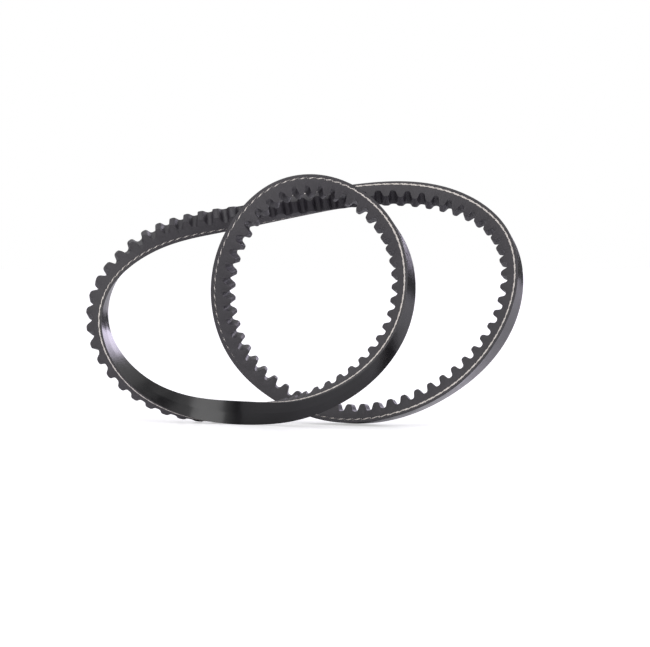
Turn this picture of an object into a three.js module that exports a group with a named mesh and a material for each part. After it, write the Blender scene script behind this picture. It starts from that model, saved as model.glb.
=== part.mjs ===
// A narrow raw-edge cogged V belt, endless, curled into three lobes and standing on its edge.
// Millimetres, +Z up, the viewer's side is -Y. The belt is built up from its real plies, from the
// smooth back down to the cogs, all wrapped on one closed route that follows the cord line.
import * as THREE from 'three';

// Belt section
const TOP_WIDTH = 10;
const BELT_HEIGHT = 8;
const WEDGE_ANGLE = 36;
const OUTSIDE_LENGTH = 750;

// Plies, measured from the cord line
const CORD_DEPTH = 1.4;
const CORD_DIAMETER = 0.8;
const CORD_TURNS = 6;
const CORD_EDGE_COVER = 0.1;
const CORD_SIDES = 4;
const CORD_CLEARANCE = 0.2;
const COVER_THICKNESS = 0.45;
const PLY_CLEARANCE = 0.1;
const LOWER_GUM_THICKNESS = 0.45;
const BODY_CLEARANCE = 0.2;

// Cogs
const COG_COUNT = 114;
const COG_HEIGHT = 3.2;
const COG_LAND = 0.36;
const NOTCH_FLOOR = 0.24;
const COG_CORNER = 0.07;
const COG_CORNER_DROP = 0.5;
const NOTCH_CORNER_RISE = 0.6;

// How the loop lies: [x, y, z, roll] of the cord line at even steps along the belt. Roll turns the
// cogs about the direction of travel: 0 has them facing the inside of the curl, 90 the viewer.
// The belt is uniformly scaled so that its length comes out right.
const ROUTE = [
  [-9.5, -18, 8, -52],
  [15, -23, 19.5, -40],
  [32.5, -17, 40.5, -32],
  [36, -9, 66.5, -21],
  [27.5, 6.5, 87.5, 6],
  [5.5, 10.5, 103.5, 16],
  [-21, -1, 102.5, 24],
  [-39.5, -8.5, 83, 24],
  [-47, 1, 58, 24],
  [-41.5, 6.5, 31, 21],
  [-23.5, 10, 10.5, -2],
  [2, 5, 0.5, -2],
  [27.5, -5, 3, -16],
  [52, -7, 14, -13],
  [71.5, -7.5, 32.5, -29],
  [82, -5, 57.5, -23],
  [78.5, 7.5, 82.5, -1],
  [57.5, 20.5, 96, 25],
  [30.5, 24.5, 98, 62],
  [4, 22.5, 94.5, 72],
  [-22, 22, 90, 93],
  [-48, 22, 84.5, 130],
  [-72.5, 33, 78, 155],
  [-94.5, 28.5, 60, 183],
  [-97, 12, 36.5, 194],
  [-80.5, 6, 14.5, 217],
  [-55.5, 11, 4, 232],
  [-28.5, 0.5, 5, 276],
];

const SAMPLES_PER_STEP = 40;
const FULL_TURN = 360;
const AWAY = new THREE.Vector3(0, 1, 0);

const WEDGE_SLOPE = Math.tan(THREE.MathUtils.degToRad(WEDGE_ANGLE / 2));
const CORD_RADIUS = CORD_DIAMETER / 2;
const BACK_LEVEL = -CORD_DEPTH;
const COVER_LEVEL = BACK_LEVEL + COVER_THICKNESS;
const UPPER_GUM_LEVELS = [COVER_LEVEL + PLY_CLEARANCE, -CORD_RADIUS - CORD_CLEARANCE];
const LOWER_GUM_TOP = CORD_RADIUS + CORD_CLEARANCE;
const LOWER_GUM_LEVELS = [LOWER_GUM_TOP, LOWER_GUM_TOP + LOWER_GUM_THICKNESS];
const BODY_LEVEL = LOWER_GUM_LEVELS[1] + BODY_CLEARANCE;
const TIP_LEVEL = BELT_HEIGHT - CORD_DEPTH;
const NOTCH_LEVEL = TIP_LEVEL - COG_HEIGHT;
const CORD_LENGTH = OUTSIDE_LENGTH - 2 * Math.PI * CORD_DEPTH;

// The wedge narrows evenly from the back to the cog tips
function halfWidthAt(level) {
  return TOP_WIDTH / 2 - (level + CORD_DEPTH) * WEDGE_SLOPE;
}

// Closed uniform cubic spline through the neighbourhood of the route rows
function splineWeights(f) {
  const g = 1 - f;
  return [g ** 3 / 6, (3 * f ** 3 - 6 * f ** 2 + 4) / 6, (3 * g ** 3 - 6 * g ** 2 + 4) / 6, f ** 3 / 6];
}

function splineSlopes(f) {
  const g = 1 - f;
  return [-(g ** 2) / 2, (3 * f ** 2 - 4 * f) / 2, (4 * g - 3 * g ** 2) / 2, f ** 2 / 2];
}

function routeAt(step) {
  const base = Math.floor(step);
  const weights = splineWeights(step - base);
  const slopes = splineSlopes(step - base);
  const place = new THREE.Vector3();
  const travel = new THREE.Vector3();
  let roll = 0;
  for (let k = 0; k < 4; k += 1) {
    const index = base + k - 1;
    const lap = Math.floor(index / ROUTE.length);
    const [x, y, z, rowRoll] = ROUTE[index - lap * ROUTE.length];
    const row = new THREE.Vector3(x, y, z);
    place.addScaledVector(row, weights[k]);
    travel.addScaledVector(row, slopes[k]);
    roll += weights[k] * (rowRoll + lap * FULL_TURN);
  }
  return { place, travel: travel.normalize(), roll: THREE.MathUtils.degToRad(roll) };
}

// Running length along the unscaled route, one entry per fine sample
function measureRoute() {
  const lengths = [0];
  let last = routeAt(0).place;
  for (let i = 1; i <= ROUTE.length * SAMPLES_PER_STEP; i += 1) {
    const next = routeAt(i / SAMPLES_PER_STEP).place;
    lengths.push(lengths[i - 1] + last.distanceTo(next));
    last = next;
  }
  return lengths;
}

function stepAtLength(lengths, length) {
  let low = 0;
  let high = lengths.length - 1;
  while (high - low > 1) {
    const middle = Math.floor((low + high) / 2);
    if (lengths[middle] <= length) {
      low = middle;
    } else {
      high = middle;
    }
  }
  const share = (length - lengths[low]) / (lengths[high] - lengths[low]);
  return (low + share) / SAMPLES_PER_STEP;
}

// One station in the middle of every notch: the belt bends there and the cogs stay straight
function layStations() {
  const lengths = measureRoute();
  const total = lengths[lengths.length - 1];
  const scale = CORD_LENGTH / total;
  const stations = [];
  for (let k = 0; k < COG_COUNT; k += 1) {
    const { place, travel, roll } = routeAt(stepAtLength(lengths, (total * (k + 0.5)) / COG_COUNT));
    const inward = new THREE.Vector3().crossVectors(travel, AWAY).normalize();
    const facing = new THREE.Vector3().crossVectors(travel, inward);
    const cogward = inward.multiplyScalar(Math.cos(roll)).addScaledVector(facing, Math.sin(roll));
    const sideward = new THREE.Vector3().crossVectors(travel, cogward);
    stations.push({ place: place.multiplyScalar(scale), cogward, sideward });
  }
  return stations;
}

const STATIONS = layStations();

function pointAtStation(index, side, level) {
  const { place, cogward, sideward } = STATIONS[index % COG_COUNT];
  return place.clone().addScaledVector(sideward, side).addScaledVector(cogward, level);
}

// A point of the belt: along in cog pitches, side across the width, level from the cord line
function beltPoint(along, side, level) {
  const index = Math.floor(along);
  const start = pointAtStation(index, side, level);
  return start.lerp(pointAtStation(index + 1, side, level), along - index);
}

// Stands the loop on the floor, centred over the origin
function findStance() {
  const box = new THREE.Box3();
  for (let k = 0; k < COG_COUNT; k += 1) {
    for (const side of [-1, 1]) {
      box.expandByPoint(beltPoint(k, side * halfWidthAt(BACK_LEVEL), BACK_LEVEL));
      for (const share of [0.5 - COG_LAND / 2, 0.5 + COG_LAND / 2]) {
        box.expandByPoint(beltPoint(k + share, side * halfWidthAt(TIP_LEVEL), TIP_LEVEL));
      }
    }
  }
  const centre = box.getCenter(new THREE.Vector3());
  return new THREE.Vector3(-centre.x, -centre.y, -box.min.z);
}

const STANCE = findStance();

function solidFromRings(rings, closed) {
  const corners = rings[0].length;
  const positions = [];
  for (const ring of rings) {
    for (const corner of ring) {
      positions.push(...corner.clone().add(STANCE).toArray());
    }
  }
  const faces = [];
  const spans = closed ? rings.length : rings.length - 1;
  for (let i = 0; i < spans; i += 1) {
    const here = i * corners;
    const there = ((i + 1) % rings.length) * corners;
    for (let c = 0; c < corners; c += 1) {
      const d = (c + 1) % corners;
      // Facing surfaces of neighbouring plies split along the same diagonal where the belt twists
      if (c < corners / 2) {
        faces.push(here + c, there + c, here + d);
        faces.push(here + d, there + c, there + d);
      } else {
        faces.push(here + c, there + c, there + d);
        faces.push(here + c, there + d, here + d);
      }
    }
  }
  if (!closed) {
    const end = (rings.length - 1) * corners;
    for (let c = 1; c < corners - 1; c += 1) {
      faces.push(0, c, c + 1);
      faces.push(end, end + c + 1, end + c);
    }
  }
  const geometry = new THREE.BufferGeometry();
  geometry.setAttribute('position', new THREE.Float32BufferAttribute(positions, 3));
  geometry.setIndex(faces);
  return geometry;
}

// Corners of a ply's section, in turn round its outline
function section(along, topLevel, lowLevel, sideShares) {
  const top = halfWidthAt(topLevel);
  const low = halfWidthAt(lowLevel);
  const topRow = sideShares.map((share) => beltPoint(along, share * top, topLevel));
  const lowRow = sideShares.map((share) => beltPoint(along, -share * low, lowLevel));
  return [...topRow, ...lowRow];
}

function plySolid(topLevel, lowLevel) {
  const rings = [];
  for (let k = 0; k < COG_COUNT; k += 1) {
    rings.push(section(k, topLevel, lowLevel, [-1, 0, 1]));
  }
  return solidFromRings(rings, true);
}

// Compression rubber: notch floor, notch corner, cog corner and land, then the same mirrored
function coggedSolid() {
  const notchShare = NOTCH_FLOOR / 2;
  const landShare = 0.5 - COG_LAND / 2;
  const outline = [
    [0, NOTCH_LEVEL],
    [notchShare, NOTCH_LEVEL + NOTCH_CORNER_RISE],
    [landShare - COG_CORNER, TIP_LEVEL - COG_CORNER_DROP],
    [landShare, TIP_LEVEL],
    [1 - landShare, TIP_LEVEL],
    [1 - landShare + COG_CORNER, TIP_LEVEL - COG_CORNER_DROP],
    [1 - notchShare, NOTCH_LEVEL + NOTCH_CORNER_RISE],
  ];
  const rings = [];
  for (let k = 0; k < COG_COUNT; k += 1) {
    for (const [share, level] of outline) {
      rings.push(section(k + share, BODY_LEVEL, level, [-1, 1]));
    }
  }
  return solidFromRings(rings, true);
}

// One continuous cord wound side by side from flank to flank
function cordSolid() {
  const reach = halfWidthAt(0) - CORD_RADIUS - CORD_EDGE_COVER;
  const count = CORD_TURNS * COG_COUNT;
  const rings = [];
  for (let i = 0; i <= count; i += 1) {
    const centre = -reach + (2 * reach * i) / count;
    const ring = [];
    for (let c = 0; c < CORD_SIDES; c += 1) {
      const angle = (2 * Math.PI * c) / CORD_SIDES;
      const side = centre + CORD_RADIUS * Math.sin(angle);
      ring.push(beltPoint(i % COG_COUNT, side, -CORD_RADIUS * Math.cos(angle)));
    }
    rings.push(ring);
  }
  return solidFromRings(rings, false);
}

function addPiece(group, name, geometry, colour, roughness) {
  const material = new THREE.MeshStandardMaterial({ color: colour, roughness, metalness: 0 });
  const mesh = new THREE.Mesh(geometry, material);
  mesh.name = name;
  group.add(mesh);
}

const belt = new THREE.Group();
belt.name = 'v_belt';
addPiece(belt, 'back_cover_ply', plySolid(BACK_LEVEL, COVER_LEVEL), 0x2b2a2e, 0.35);
addPiece(belt, 'upper_cushion_gum', plySolid(...UPPER_GUM_LEVELS), 0x46434a, 0.8);
addPiece(belt, 'tensile_cord', cordSolid(), 0xd8d0c8, 0.75);
addPiece(belt, 'lower_cushion_gum', plySolid(...LOWER_GUM_LEVELS), 0x46434a, 0.8);
addPiece(belt, 'cogged_body', coggedSolid(), 0x4b474c, 0.75);

export default belt;
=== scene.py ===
"""A raw-edge cogged V belt, endless and curled into three lobes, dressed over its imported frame.

The belt is made straight, ply by ply, in belt coordinates: along in cogs, side as a share of the
half width, depth as a share of the ply's thickness. Each ply is then wrapped on the closed route
that the cord line follows.
"""

import math

import bmesh
import bpy
import numpy as np
from bpy.props import FloatProperty, FloatVectorProperty, IntProperty, PointerProperty
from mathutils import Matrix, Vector


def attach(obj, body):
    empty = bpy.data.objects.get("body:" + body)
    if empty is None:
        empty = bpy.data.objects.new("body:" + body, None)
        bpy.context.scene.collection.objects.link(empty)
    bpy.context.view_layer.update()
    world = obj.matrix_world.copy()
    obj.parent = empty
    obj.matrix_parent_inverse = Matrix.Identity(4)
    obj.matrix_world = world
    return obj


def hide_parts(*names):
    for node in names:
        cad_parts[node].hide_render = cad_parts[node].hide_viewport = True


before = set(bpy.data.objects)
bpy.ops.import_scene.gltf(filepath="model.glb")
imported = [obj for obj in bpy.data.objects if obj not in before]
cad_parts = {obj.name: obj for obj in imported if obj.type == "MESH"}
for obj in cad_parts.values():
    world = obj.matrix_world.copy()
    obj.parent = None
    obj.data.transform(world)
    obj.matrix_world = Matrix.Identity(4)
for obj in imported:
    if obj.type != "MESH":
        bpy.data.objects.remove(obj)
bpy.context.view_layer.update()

bl_info = {
    "name": "Cogged V Belt",
    "version": (1, 0, 0),
    "blender": (4, 5, 0),
    "location": "View3D > Sidebar > V Belt",
    "description": "Builds a curled raw-edge cogged V belt from its plies",
    "category": "Object",
}

MM = 0.001
BODY = "root"

# Control points [x, y, z, roll] of the cord line at even steps along the belt, in degrees and in mm
# before they are scaled to the belt's length. Roll turns the cogs about the direction of travel: 0
# has them facing the inside of the curl, 90 the front.
ROUTE = np.array(
    [
        [-9.5, -18, 8, -52],
        [15, -23, 19.5, -40],
        [32.5, -17, 40.5, -32],
        [36, -9, 66.5, -21],
        [27.5, 6.5, 87.5, 6],
        [5.5, 10.5, 103.5, 16],
        [-21, -1, 102.5, 24],
        [-39.5, -8.5, 83, 24],
        [-47, 1, 58, 24],
        [-41.5, 6.5, 31, 21],
        [-23.5, 10, 10.5, -2],
        [2, 5, 0.5, -2],
        [27.5, -5, 3, -16],
        [52, -7, 14, -13],
        [71.5, -7.5, 32.5, -29],
        [82, -5, 57.5, -23],
        [78.5, 7.5, 82.5, -1],
        [57.5, 20.5, 96, 25],
        [30.5, 24.5, 98, 62],
        [4, 22.5, 94.5, 72],
        [-22, 22, 90, 93],
        [-48, 22, 84.5, 130],
        [-72.5, 33, 78, 155],
        [-94.5, 28.5, 60, 183],
        [-97, 12, 36.5, 194],
        [-80.5, 6, 14.5, 217],
        [-55.5, 11, 4, 232],
        [-28.5, 0.5, 5, 276],
    ]
)
ROUTE_SAMPLES = 200
FULL_TURN = 360.0
AWAY = np.array([0.0, 1.0, 0.0])

# Half a cog pitch of the moulded side, from the middle of a notch to the middle of a cog: share of
# the pitch, share of the cog's height. A notch is a rounded U, and a cog narrows a little towards
# its rounded crown.
COG_OUTLINE = [
    (0.0, 0.0),
    (0.065, 0.012),
    (0.125, 0.055),
    (0.172, 0.14),
    (0.205, 0.27),
    (0.231, 0.43),
    (0.256, 0.6),
    (0.285, 0.76),
    (0.322, 0.88),
    (0.366, 0.955),
    (0.425, 0.99),
    (0.5, 1.0),
]

# The cord's turns: place along the belt in cogs, and side in mm. Its first lap runs along the rear
# flank and its last along the front flank, near enough for the ground flank to have cut into it.
WINDING = [
    (70, -4.05),
    (84, -4.18),
    (94, -4.24),
    (98, -4.4),
    (112, -4.42),
    (130, -4.34),
    (160, -4.2),
    (172, -3.95),
    (186, -2.95),
    (716, 2.95),
    (727, 4.12),
    (735, 4.36),
    (812, 4.42),
    (820, 4.2),
    (831, 4.16),
    (836, 4.0),
]
CORD_RINGS_PER_LAY = 12
CORD_SIDES = 9
STRANDS = 3
HOLLOW_REACH = 0.55  # share of the cord's radius left in the hollow between two strands

# Cuts and edges, in mm
CORNER_BREAK = 0.12  # taken off the cut corner of the back
COG_EDGE_BREAK = 0.1  # taken off the ground edge of a cog's crown
CORD_FUZZ = 0.03  # fibres that stand proud of the ground flank

# Places across a ply, as shares of its half width
COVER_EDGE = 0.985
COG_EDGE = 0.97
FLANK_FROM = 0.99  # past this, only the vertices on the flank itself

# How finely a ply is cut up, and the steepest fold that still shades as smooth
COLUMNS_PER_COG = 5
PLY_SMOOTH = math.radians(35)
COG_SMOOTH = math.radians(50)
CORD_SMOOTH = math.radians(60)

# Distances under which vertices are merged: in metres once wrapped, in mm before
WRAPPED_WELD = 1e-6
STRAIGHT_WELD = 0.001

NOISE_ROUGHNESS = 0.55

# The stage: sizes and places in metres, lamps in watts, the camera's sensor in mm
FLOOR_HALF = 1.3
FLOOR_GLOW = 0.5
LIGHT_TARGET = Vector((0, 0, 0.05))
ROOM_TINT = "#fbfaff"
ROOM_STRENGTH = 0.5
MIRRORED_WALL_STRENGTH = 0.06
SOFTBOXES = [
    # name, place, width, power, colour
    ("key_softbox", (-0.5, -0.9, 1.1), 1.2, 9.0, "#ffffff"),
    ("fill_softbox", (1.0, -0.5, 0.7), 0.8, 4.0, "#ffffff"),
    ("back_softbox", (0.68, 1.15, 0.52), 0.6, 6.0, "#efe6ff"),
]
SENSOR_WIDTH = 36.0
CLIP_START = 0.01
CLIP_END = 50


def linear_colour(hex_code):
    """sRGB hex, such as '#4b474c', as linear RGB."""
    channels = [int(hex_code[i : i + 2], 16) / 255 for i in (1, 3, 5)]
    return tuple(c / 12.92 if c <= 0.04045 else ((c + 0.055) / 1.055) ** 2.4 for c in channels)


def colour_property(name, description, hex_code):
    return FloatVectorProperty(
        name=name,
        description=description,
        subtype="COLOR",
        size=3,
        min=0.0,
        max=1.0,
        default=linear_colour(hex_code),
    )


def length_property(name, description, millimetres):
    return FloatProperty(
        name=name, description=description, default=millimetres, min=0.0, precision=2
    )


class BeltSize(bpy.types.PropertyGroup):
    top_width: length_property("Top width", "Width across the back, in mm", 10.0)
    height: length_property("Height", "From the back to the cog crowns, in mm", 8.0)
    wedge_angle: FloatProperty(
        name="Wedge angle",
        description="Angle between the two flanks",
        subtype="ANGLE",
        default=math.radians(36),
        max=math.radians(60),
    )
    outside_length: length_property("Outside length", "Length round the back, in mm", 750.0)
    cord_depth: length_property("Cord depth", "From the back to the cord's middle, in mm", 1.4)
    cord_diameter: length_property("Cord diameter", "Across the twisted cord, in mm", 1.0)
    cord_lay: length_property("Cord lay", "Length in which its strands turn once, in mm", 11.4)
    cover_thickness: length_property("Cover thickness", "Of the smooth back cover, in mm", 0.5)
    cushion_depth: length_property("Cushion depth", "Gum below the cord's middle, in mm", 0.9)
    cog_count: IntProperty(name="Cogs", description="Cogs round the belt", default=114, min=12)
    cog_height: length_property("Cog height", "Depth of the notches, in mm", 3.2)


class BeltFinish(bpy.types.PropertyGroup):
    cover: colour_property("Cover", "Moulded smooth back", "#0e0d10")
    flank: colour_property("Flank", "Ground rubber flank", "#4a484b")
    fibre: colour_property("Fibre", "Short fibres cut open on the flank", "#6a656c")
    cog: colour_property("Cog", "Moulded cog faces", "#322f35")
    cord: colour_property("Cord", "Twisted polyester cord", "#f5f0e9")
    # Painted shade: the darker colour laid in the gaps between the cord's fibres, where shadow
    # falls
    cord_painted_shade: colour_property("Cord shade", "Between the cord's fibres", "#b3a89e")


class StageSettings(bpy.types.PropertyGroup):
    elevation: FloatProperty(
        name="Elevation",
        description="Camera height angle",
        subtype="ANGLE",
        default=math.radians(3.97),
    )
    distance: length_property("Distance", "From the camera to its target, in mm", 1173.3)
    target: FloatVectorProperty(
        name="Target",
        description="Point the camera looks at, in mm",
        size=3,
        default=(9.22, -5.07, 42.72),
    )
    view_width: length_property("View width", "Width seen at the target, in mm", 272.194)


# ---------------------------------------------------------------------------- route and wrapping


def spline_weights(f):
    g = 1 - f
    return [g**3 / 6, (3 * f**3 - 6 * f**2 + 4) / 6, (3 * g**3 - 6 * g**2 + 4) / 6, f**3 / 6]


def spline_slopes(f):
    g = 1 - f
    return [-(g**2) / 2, (3 * f**2 - 4 * f) / 2, (4 * g - 3 * g**2) / 2, f**2 / 2]


def route_at(steps):
    """Place, direction of travel and roll, at steps counted in route rows."""
    base = np.floor(steps).astype(int)
    place = np.zeros((len(steps), 3))
    travel = np.zeros((len(steps), 3))
    roll = np.zeros(len(steps))
    weights = spline_weights(steps - base)
    slopes = spline_slopes(steps - base)
    for k in range(4):
        lap, row = np.divmod(base + k - 1, len(ROUTE))
        place += ROUTE[row, :3] * weights[k][:, None]
        travel += ROUTE[row, :3] * slopes[k][:, None]
        roll += (ROUTE[row, 3] + FULL_TURN * lap) * weights[k]
    return place, unit(travel), np.radians(roll)


def unit(vectors):
    return vectors / np.linalg.norm(vectors, axis=1)[:, None]


class Wrap:
    """Carries straight belt coordinates onto the curled belt."""

    def __init__(self, size):
        self.size = size
        self.slope = math.tan(size.wedge_angle / 2)
        self.cord_length = size.outside_length - 2 * math.pi * size.cord_depth
        self.pitch = self.cord_length / size.cog_count
        self.steps = np.linspace(0, len(ROUTE), len(ROUTE) * ROUTE_SAMPLES + 1)
        places, _, _ = route_at(self.steps)
        spans = np.linalg.norm(np.diff(places, axis=0), axis=1)
        self.lengths = np.concatenate([[0.0], np.cumsum(spans)])
        self.scale = self.cord_length / self.lengths[-1]
        self.stance = np.zeros(3)
        self.stance = self.find_stance()

    def half_width(self, level):
        return self.size.top_width / 2 - (level + self.size.cord_depth) * self.slope

    def points(self, along, side, level):
        """World points in metres. along counts cogs from a notch, side and level are in mm."""
        share = np.mod(along + 0.5, self.size.cog_count) / self.size.cog_count
        steps = np.interp(share * self.lengths[-1], self.lengths, self.steps)
        place, travel, roll = route_at(steps)
        inward = unit(np.cross(travel, AWAY))
        facing = np.cross(travel, inward)
        cogward = np.cos(roll)[:, None] * inward + np.sin(roll)[:, None] * facing
        sideward = np.cross(travel, cogward)
        spot = place * self.scale + sideward * side[:, None] + cogward * level[:, None]
        return (spot + self.stance) * MM

    def find_stance(self):
        """The shift that stands the belt on the floor with its box centred over the origin."""
        along = np.arange(self.size.cog_count, dtype=float)
        corners = []
        for level, shares in ((-self.size.cord_depth, (0.0,)), (self.crown, (0.32, 0.68))):
            for share in shares:
                for hand in (-1, 1):
                    side = np.full(len(along), hand * self.half_width(level))
                    corners.append(self.points(along + share, side, np.full(len(along), level)))
        corners = np.concatenate(corners) / MM
        low, high = corners.min(axis=0), corners.max(axis=0)
        return np.array([-(low[0] + high[0]) / 2, -(low[1] + high[1]) / 2, -low[2]])

    @property
    def crown(self):
        return self.size.height - self.size.cord_depth

    @property
    def notch(self):
        return self.crown - self.size.cog_height


def finish_piece(name, bm, materials, nodes, smooth_angle):
    """Makes the wrapped bmesh an object that rides on the frame and stands for its CAD nodes."""
    mesh = bpy.data.meshes.new(name)
    bm.to_mesh(mesh)
    bm.free()
    piece = bpy.data.objects.new(name, mesh)
    bpy.context.scene.collection.objects.link(piece)
    for material in materials:
        mesh.materials.append(material)
    mesh.polygons.foreach_set("use_smooth", [True] * len(mesh.polygons))
    mesh.set_sharp_from_angle(angle=smooth_angle)
    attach(piece, BODY)
    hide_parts(*nodes)
    return piece


def straight_ply(columns, side_shares):
    """A grid in the upright plane, extruded across the belt: x is the column, y the side share and
    z 0 at the ply's upper face or 1 at its lower."""
    bm = bmesh.new()
    bmesh.ops.create_grid(bm, x_segments=columns, y_segments=1, size=0.5)
    bmesh.ops.translate(bm, verts=bm.verts, vec=(0.5, 0.5, 0))
    for vert in bm.verts:
        vert.co = (round(vert.co.x * columns), side_shares[0], round(vert.co.y))
    region = bm.faces[:]
    for last, share in zip(side_shares, side_shares[1:]):
        grown = bmesh.ops.extrude_face_region(bm, geom=region)["geom"]
        verts = [item for item in grown if isinstance(item, bmesh.types.BMVert)]
        bmesh.ops.translate(bm, verts=verts, vec=(0, share - last, 0))
        region = [item for item in grown if isinstance(item, bmesh.types.BMFace)]
    ends = [
        face
        for face in bm.faces
        if abs(face.normal.x) > 0.5 and abs(face.calc_center_median().x % columns) < 0.25
    ]
    bmesh.ops.delete(bm, geom=ends, context="FACES_ONLY")
    return bm


def place_on_belt(bm, wrap, along, side, level):
    """Moves the vertices to their places on the curled belt, and notes their belt coordinates."""
    layer = bm.verts.layers.float_vector.new("belt")
    spots = wrap.points(along, side, level)
    for vert, spot, place in zip(bm.verts, spots, zip(along, side, level)):
        vert.co = spot
        vert[layer] = (place[0] * wrap.pitch * MM, place[1] * MM, place[2] * MM)


def wrap_ply(bm, wrap, along_of, level_of):
    """Wraps a straight ply on the curled belt and closes the loop."""
    raw = np.array([v.co for v in bm.verts])
    along = along_of(raw[:, 0])
    level = level_of(raw[:, 0], raw[:, 1], raw[:, 2])
    side = raw[:, 1] * wrap.half_width(level)
    place_on_belt(bm, wrap, along, side, level)
    bmesh.ops.remove_doubles(bm, verts=bm.verts, dist=WRAPPED_WELD)
    bmesh.ops.recalc_face_normals(bm, faces=bm.faces)


# ---------------------------------------------------------------------------- materials


def add_node(tree, kind, settings=None, links=None):
    """Adds a node, sets its own settings and its sockets' values, and links sockets into it."""
    node = tree.nodes.new(kind)
    for key, value in (settings or {}).items():
        if key in node.inputs:
            node.inputs[key].default_value = value
        else:
            setattr(node, key, value)
    for key, output in (links or {}).items():
        tree.links.new(output, node.inputs[key])
    return node


def new_material(name):
    material = bpy.data.materials.new(name)
    material.use_nodes = True
    material.node_tree.nodes.clear()
    return material, material.node_tree


def rgba(colour):
    return (*colour, 1.0)


def ramp(tree, factor, stops):
    """A colour ramp with (place, colour) stops."""
    node = add_node(tree, "ShaderNodeValToRGB", links={"Fac": factor})
    elements = node.color_ramp.elements
    elements[0].position, elements[0].color = stops[0]
    elements[1].position, elements[1].color = stops[-1]
    for place, colour in stops[1:-1]:
        elements.new(place).color = colour
    return node.outputs["Color"]


def grey(value):
    return (value, value, value, 1.0)


def noise(tree, coordinates, feature_mm, detail):
    """Noise whose features are about feature_mm across, on coordinates in metres."""
    settings = {
        "Scale": 1.0 / (feature_mm * MM),
        "Detail": detail,
        "Roughness": NOISE_ROUGHNESS,
    }
    return add_node(tree, "ShaderNodeTexNoise", settings, {"Vector": coordinates}).outputs["Fac"]


def belt_coordinates(tree, stretch=(1, 1, 1)):
    """Coordinates along, across and through the belt, in metres, stretched on each axis."""
    attribute = add_node(tree, "ShaderNodeAttribute", {"attribute_name": "belt"})
    place = {"Vector": attribute.outputs["Vector"]}
    return add_node(tree, "ShaderNodeMapping", {"Scale": stretch}, place).outputs["Vector"]


def surface(tree, settings, links, height, depth_mm, strength):
    """A principled surface and its output, with a bump of depth_mm from a height socket."""
    shader = add_node(tree, "ShaderNodeBsdfPrincipled", settings, links)
    relief = {"Strength": strength, "Distance": depth_mm * MM}
    bump = add_node(tree, "ShaderNodeBump", relief, {"Height": height})
    tree.links.new(bump.outputs["Normal"], shader.inputs["Normal"])
    add_node(tree, "ShaderNodeOutputMaterial", links={"Surface": shader.outputs["BSDF"]})


def mix_colours(tree, factor, first, second):
    """Mixes two colours, each a linear colour or a socket, by a factor socket."""
    node = add_node(tree, "ShaderNodeMix", {"data_type": "RGBA"}, {0: factor})
    for index, value in ((6, first), (7, second)):
        if isinstance(value, bpy.types.NodeSocket):
            tree.links.new(value, node.inputs[index])
        else:
            node.inputs[index].default_value = rgba(value)
    return node.outputs[2]


def moulded_cover_rubber(finish):
    """Chloroprene moulded against a polished drum: near black and glossy, with a faint orange peel
    and long hairline scuffs."""
    material, tree = new_material("moulded_cover_rubber")
    scuffs = noise(tree, belt_coordinates(tree, (0.06, 1, 1)), 0.5, detail=4.0)
    haze = noise(tree, belt_coordinates(tree), 9.0, detail=2.0)
    scuff_mask = ramp(tree, scuffs, [(0.52, grey(0)), (0.78, grey(0.3))])
    lighter = tuple(c * 2.2 + 0.01 for c in finish.cover)
    colour = mix_colours(tree, scuff_mask, finish.cover, lighter)
    roughness = ramp(tree, haze, [(0.3, grey(0.16)), (0.7, grey(0.27))])
    peel = noise(tree, belt_coordinates(tree), 0.7, detail=2.0)
    surface(tree, {}, {"Base Color": colour, "Roughness": roughness}, peel, 0.004, 0.3)
    return material


def ground_flank_rubber(finish):
    """Fibre-filled chloroprene cut and ground to the wedge: matt, grey, speckled where the short
    fibres are cut open and faintly drawn out along the belt by the stone."""
    material, tree = new_material("ground_flank_rubber")
    drawn = noise(tree, belt_coordinates(tree, (0.3, 1, 1)), 0.28, detail=4.0)
    mottle = noise(tree, belt_coordinates(tree), 4.0, detail=3.0)
    speckle = noise(tree, belt_coordinates(tree), 0.22, detail=2.0)
    darker = tuple(c * 0.62 for c in finish.flank)
    mottle_mask = ramp(tree, mottle, [(0.25, grey(0.0)), (0.75, grey(0.6))])
    base = mix_colours(tree, mottle_mask, finish.flank, darker)
    drawn_mask = ramp(tree, drawn, [(0.35, grey(0.45)), (0.65, grey(0.0))])
    base = mix_colours(tree, drawn_mask, base, darker)
    speckle_mask = ramp(tree, speckle, [(0.6, grey(0)), (0.74, grey(0.6))])
    colour = mix_colours(tree, speckle_mask, base, finish.fibre)
    surface(tree, {"Roughness": 0.78}, {"Base Color": colour}, drawn, 0.05, 0.5)
    return material


def moulded_cog_rubber(finish):
    """The same rubber moulded in the cog matrix: smoother than the flank, half matt, with the faint
    cross ribs of the knitted cloth it was pressed against."""
    material, tree = new_material("moulded_cog_rubber")
    cloth = noise(tree, belt_coordinates(tree, (1, 0.35, 1)), 0.35, detail=3.0)
    mottle = noise(tree, belt_coordinates(tree), 3.0, detail=2.0)
    darker = tuple(c * 0.6 for c in finish.cog)
    mottle_mask = ramp(tree, mottle, [(0.3, grey(0)), (0.7, grey(0.5))])
    colour = mix_colours(tree, mottle_mask, finish.cog, darker)
    roughness = ramp(tree, cloth, [(0.3, grey(0.42)), (0.7, grey(0.6))])
    surface(tree, {}, {"Base Color": colour, "Roughness": roughness}, cloth, 0.04, 0.5)
    return material


def twisted_polyester_cord(finish):
    """Polyester yarn, doubled, twisted and cut by grinding: creamy, matt and fibrous, with painted
    shade between its fibres.
    """
    material, tree = new_material("twisted_polyester_cord")
    fibres = noise(tree, belt_coordinates(tree, (0.25, 1, 1)), 0.12, detail=2.0)
    # Painted shade: the gaps between the fibres are darkened towards the cord's painted shade
    # colour
    fibre_gap_shade_mask = ramp(tree, fibres, [(0.4, grey(0.7)), (0.62, grey(0.0))])
    colour = mix_colours(tree, fibre_gap_shade_mask, finish.cord, finish.cord_painted_shade)
    surface(tree, {"Roughness": 0.85}, {"Base Color": colour}, fibres, 0.05, 0.6)
    return material


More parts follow.
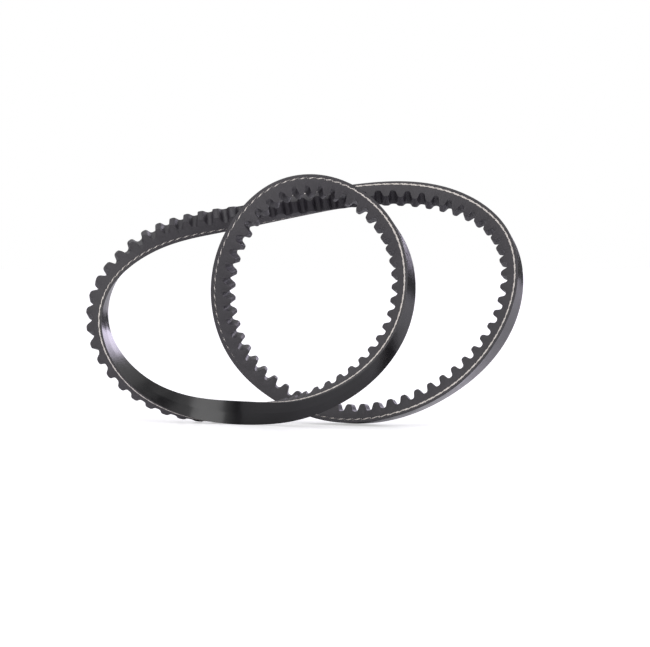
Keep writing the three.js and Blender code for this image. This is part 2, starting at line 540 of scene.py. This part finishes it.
MATERIAL_MAKERS = {
    "moulded_cover_rubber": moulded_cover_rubber,
    "ground_flank_rubber": ground_flank_rubber,
    "moulded_cog_rubber": moulded_cog_rubber,
    "twisted_polyester_cord": twisted_polyester_cord,
}


def belt_material(name):
    """The named material, made on first use."""
    found = bpy.data.materials.get(name)
    return found or MATERIAL_MAKERS[name](bpy.context.scene.belt_finish)


# ---------------------------------------------------------------------------- operators


class BELT_OT_back_cover(bpy.types.Operator):
    """Smooth back cover, the wide side of the wedge"""

    bl_idname = "belt.back_cover"
    bl_label = "Back Cover"

    def execute(self, context):
        size = context.scene.belt_size
        wrap = Wrap(size)
        low = size.cover_thickness - size.cord_depth
        bm = straight_ply(
            size.cog_count * COLUMNS_PER_COG, [-1.0, -COVER_EDGE, 0.0, COVER_EDGE, 1.0]
        )

        def level_of(column, side, depth):
            top = np.where(np.abs(side) > FLANK_FROM, CORNER_BREAK, 0.0) - size.cord_depth
            return top + depth * (low - top)

        wrap_ply(bm, wrap, lambda column: column / COLUMNS_PER_COG, level_of)
        cover = belt_material("moulded_cover_rubber")
        flank = belt_material("ground_flank_rubber")
        piece = finish_piece(
            "back_cover", bm, [cover, flank], ["back_cover_ply"], PLY_SMOOTH
        )
        assign_flank(piece, wrap, COVER_EDGE)
        return {"FINISHED"}


def assign_flank(piece, wrap, edge):
    """Gives the ground flank material to the faces that lie wholly past the edge share."""
    mesh = piece.data
    belt = np.zeros(len(mesh.vertices) * 3)
    mesh.attributes["belt"].data.foreach_get("vector", belt)
    belt = belt.reshape(-1, 3) / MM
    on_flank = np.abs(belt[:, 1]) > wrap.half_width(belt[:, 2]) * (edge + 1) / 2
    for polygon in mesh.polygons:
        if all(on_flank[v] for v in polygon.vertices):
            polygon.material_index = 1


class BELT_OT_cushion(bpy.types.Operator):
    """Cushion gum that the cord is bedded in"""

    bl_idname = "belt.cushion"
    bl_label = "Cushion Gum"

    def execute(self, context):
        size = context.scene.belt_size
        wrap = Wrap(size)
        top = size.cover_thickness - size.cord_depth
        low = size.cushion_depth
        bm = straight_ply(size.cog_count * COLUMNS_PER_COG, [-1.0, 0.0, 1.0])
        wrap_ply(
            bm,
            wrap,
            lambda column: column / COLUMNS_PER_COG,
            lambda column, side, depth: top + depth * (low - top),
        )
        finish_piece(
            "cushion_gum",
            bm,
            [belt_material("ground_flank_rubber")],
            ["upper_cushion_gum", "lower_cushion_gum"],
            PLY_SMOOTH,
        )
        return {"FINISHED"}


class BELT_OT_cogged_body(bpy.types.Operator):
    """Compression rubber with its moulded cogs"""

    bl_idname = "belt.cogged_body"
    bl_label = "Cogged Body"

    def execute(self, context):
        size = context.scene.belt_size
        wrap = Wrap(size)
        mirrored = [(1 - share, rise) for share, rise in reversed(COG_OUTLINE[1:-1])]
        outline = np.array(COG_OUTLINE + mirrored)
        per_cog = len(outline)
        bm = straight_ply(size.cog_count * per_cog, [-1.0, -COG_EDGE, 0.0, COG_EDGE, 1.0])

        def along_of(column):
            cog, point = np.divmod(np.rint(column).astype(int), per_cog)
            return cog + outline[point, 0]

        def level_of(column, side, depth):
            rise = outline[np.rint(column).astype(int) % per_cog, 1]
            crown = wrap.notch + rise * size.cog_height
            crown -= np.where(np.abs(side) > FLANK_FROM, COG_EDGE_BREAK, 0.0)
            return size.cushion_depth + depth * (crown - size.cushion_depth)

        wrap_ply(bm, wrap, along_of, level_of)
        cog = belt_material("moulded_cog_rubber")
        flank = belt_material("ground_flank_rubber")
        piece = finish_piece(
            "cogged_rubber", bm, [cog, flank], ["cogged_body"], COG_SMOOTH
        )
        assign_flank(piece, wrap, COG_EDGE)
        return {"FINISHED"}


class BELT_OT_cord(bpy.types.Operator):
    """Twisted cord, wound side by side from flank to flank"""

    bl_idname = "belt.cord"
    bl_label = "Tensile Cord"

    def execute(self, context):
        size = context.scene.belt_size
        wrap = Wrap(size)
        knots = np.array(WINDING)
        start, end = knots[0, 0], knots[-1, 0]
        length = (end - start) * wrap.pitch
        rings = int(length / size.cord_lay * CORD_RINGS_PER_LAY)
        bm = bmesh.new()
        bmesh.ops.create_grid(bm, x_segments=rings, y_segments=CORD_SIDES, size=0.5)
        flat = np.array([v.co for v in bm.verts])
        distance = (flat[:, 0] + 0.5) * length
        corner = np.rint((flat[:, 1] + 0.5) * CORD_SIDES)
        # Every third corner of the section draws in to the hollow between two strands
        hollow = corner % (CORD_SIDES // STRANDS) == 0
        reach = np.where(hollow, HOLLOW_REACH, 1.0) * size.cord_diameter / 2
        turn = 2 * math.pi * (corner / CORD_SIDES + distance / size.cord_lay)
        tube = np.column_stack([distance, reach * np.cos(turn), reach * np.sin(turn)])
        for vert, spot in zip(bm.verts, tube):
            vert.co = spot
        bmesh.ops.remove_doubles(bm, verts=bm.verts, dist=STRAIGHT_WELD)
        bmesh.ops.holes_fill(bm, edges=[edge for edge in bm.edges if edge.is_boundary], sides=0)
        raw = np.array([v.co for v in bm.verts])
        along = start + raw[:, 0] / wrap.pitch
        centre = np.interp(along, knots[:, 0], knots[:, 1])
        level = raw[:, 2]
        # Grinding cut the cord flush with the flank, but for a fuzz of fibres
        limit = wrap.half_width(level) + CORD_FUZZ
        side = np.clip(centre + raw[:, 1], -limit, limit)
        place_on_belt(bm, wrap, along, side, level)
        bmesh.ops.recalc_face_normals(bm, faces=bm.faces)
        finish_piece(
            "twisted_cord",
            bm,
            [belt_material("twisted_polyester_cord")],
            ["tensile_cord"],
            CORD_SMOOTH,
        )
        return {"FINISHED"}


class BELT_OT_stage(bpy.types.Operator):
    """White floor, soft studio light and the camera"""

    bl_idname = "belt.stage"
    bl_label = "Stage"

    def execute(self, context):
        add_floor()
        add_studio_light(context.scene)
        add_camera(context.scene, context.scene.belt_stage)
        context.scene.view_settings.view_transform = "Standard"
        return {"FINISHED"}


def add_floor():
    bm = bmesh.new()
    bmesh.ops.create_grid(bm, x_segments=2, y_segments=2, size=FLOOR_HALF)
    mesh = bpy.data.meshes.new("floor")
    bm.to_mesh(mesh)
    bm.free()
    floor = bpy.data.objects.new("floor", mesh)
    bpy.context.scene.collection.objects.link(floor)
    material, tree = new_material("white_acrylic_sheet")
    paint = {
        "Base Color": rgba(linear_colour("#f6f5f8")),
        "Roughness": 0.3,
        "Specular IOR Level": 0.25,
    }
    sheet = add_node(tree, "ShaderNodeBsdfPrincipled", paint)
    # Glows towards the camera only, so that it meets the white backdrop but keeps its shadows
    path = add_node(tree, "ShaderNodeLightPath")
    glow = add_node(tree, "ShaderNodeEmission", {"Strength": FLOOR_GLOW})
    both = add_node(tree, "ShaderNodeAddShader", links={0: sheet.outputs[0], 1: glow.outputs[0]})
    seen = add_node(
        tree,
        "ShaderNodeMixShader",
        links={0: path.outputs["Is Camera Ray"], 1: sheet.outputs[0], 2: both.outputs[0]},
    )
    add_node(tree, "ShaderNodeOutputMaterial", links={"Surface": seen.outputs[0]})
    mesh.materials.append(material)


def add_studio_light(scene):
    world = bpy.data.worlds.new("white_studio")
    scene.world = world
    world.use_nodes = True
    tree = world.node_tree
    tree.nodes.clear()
    path = add_node(tree, "ShaderNodeLightPath")
    direction = add_node(tree, "ShaderNodeTexCoord").outputs["Generated"]
    height = add_node(tree, "ShaderNodeSeparateXYZ", links={0: direction}).outputs["Z"]
    # The room's walls are dim and its ceiling white, which glossy rubber shows as bands
    ceiling = ramp(tree, height, [(0.1, grey(0.05)), (0.42, grey(1.0))])
    mirrored = maths(tree, "MULTIPLY", path.outputs["Is Glossy Ray"], ceiling)
    seen = maths(tree, "MAXIMUM", path.outputs["Is Camera Ray"], mirrored)
    seen = maths(tree, "MAXIMUM", seen, path.outputs["Is Transmission Ray"])
    tint = rgba(linear_colour(ROOM_TINT))
    room = add_node(tree, "ShaderNodeBackground", {"Color": tint, "Strength": ROOM_STRENGTH})
    wall = add_node(
        tree, "ShaderNodeBackground", {"Color": tint, "Strength": MIRRORED_WALL_STRENGTH}
    )
    rest = add_node(
        tree,
        "ShaderNodeMixShader",
        links={0: path.outputs["Is Glossy Ray"], 1: room.outputs[0], 2: wall.outputs[0]},
    )
    white = add_node(tree, "ShaderNodeBackground", {"Color": (1, 1, 1, 1), "Strength": 1.0})
    mixed = add_node(
        tree, "ShaderNodeMixShader", links={0: seen, 1: rest.outputs[0], 2: white.outputs[0]}
    )
    add_node(tree, "ShaderNodeOutputWorld", links={"Surface": mixed.outputs[0]})
    for name, place, width, power, hex_code in SOFTBOXES:
        add_softbox(name, place, width, power, hex_code)


def maths(tree, operation, first, second):
    """The output of a two-input Math node."""
    node = add_node(tree, "ShaderNodeMath", {"operation": operation}, {0: first, 1: second})
    return node.outputs[0]


def add_softbox(name, place, width, power, hex_code):
    lamp = bpy.data.lights.new(name, "AREA")
    lamp.shape = "SQUARE"
    lamp.size = width
    lamp.energy = power
    lamp.color = linear_colour(hex_code)
    box = bpy.data.objects.new(name, lamp)
    box.location = place
    box.visible_camera = False
    box.rotation_euler = (LIGHT_TARGET - Vector(place)).to_track_quat("-Z", "Y").to_euler()
    bpy.context.scene.collection.objects.link(box)


def add_camera(scene, settings):
    data = bpy.data.cameras.new("camera")
    camera = bpy.data.objects.new("camera", data)
    scene.collection.objects.link(camera)
    target = Vector(settings.target) * MM
    back = Vector((0, -math.cos(settings.elevation), math.sin(settings.elevation)))
    camera.location = target + back * settings.distance * MM
    camera.rotation_euler = (-back).to_track_quat("-Z", "Y").to_euler()
    data.sensor_width = SENSOR_WIDTH
    data.lens = SENSOR_WIDTH * settings.distance / settings.view_width
    data.clip_start = CLIP_START
    data.clip_end = CLIP_END
    scene.camera = camera


class BELT_PT_panel(bpy.types.Panel):
    """Sizes, finishes and pieces of the belt"""

    bl_idname = "BELT_PT_panel"
    bl_label = "Cogged V Belt"
    bl_space_type = "VIEW_3D"
    bl_region_type = "UI"
    bl_category = "V Belt"

    def draw(self, context):
        layout = self.layout
        for group in (context.scene.belt_size, context.scene.belt_finish, context.scene.belt_stage):
            box = layout.box()
            for name in group.__annotations__:
                box.prop(group, name)
        for operator in PIECE_OPERATORS:
            layout.operator(operator.bl_idname)


PIECE_OPERATORS = (
    BELT_OT_back_cover,
    BELT_OT_cushion,
    BELT_OT_cord,
    BELT_OT_cogged_body,
    BELT_OT_stage,
)
CLASSES = (BeltSize, BeltFinish, StageSettings, *PIECE_OPERATORS, BELT_PT_panel)


def register():
    for cls in CLASSES:
        bpy.utils.register_class(cls)
    bpy.types.Scene.belt_size = PointerProperty(type=BeltSize)
    bpy.types.Scene.belt_finish = PointerProperty(type=BeltFinish)
    bpy.types.Scene.belt_stage = PointerProperty(type=StageSettings)


def unregister():
    del bpy.types.Scene.belt_stage
    del bpy.types.Scene.belt_finish
    del bpy.types.Scene.belt_size
    for cls in reversed(CLASSES):
        bpy.utils.unregister_class(cls)


def main():
    register()
    bpy.ops.belt.back_cover()
    bpy.ops.belt.cushion()
    bpy.ops.belt.cord()
    bpy.ops.belt.cogged_body()
    bpy.ops.belt.stage()


if __name__ == "__main__":
    main()
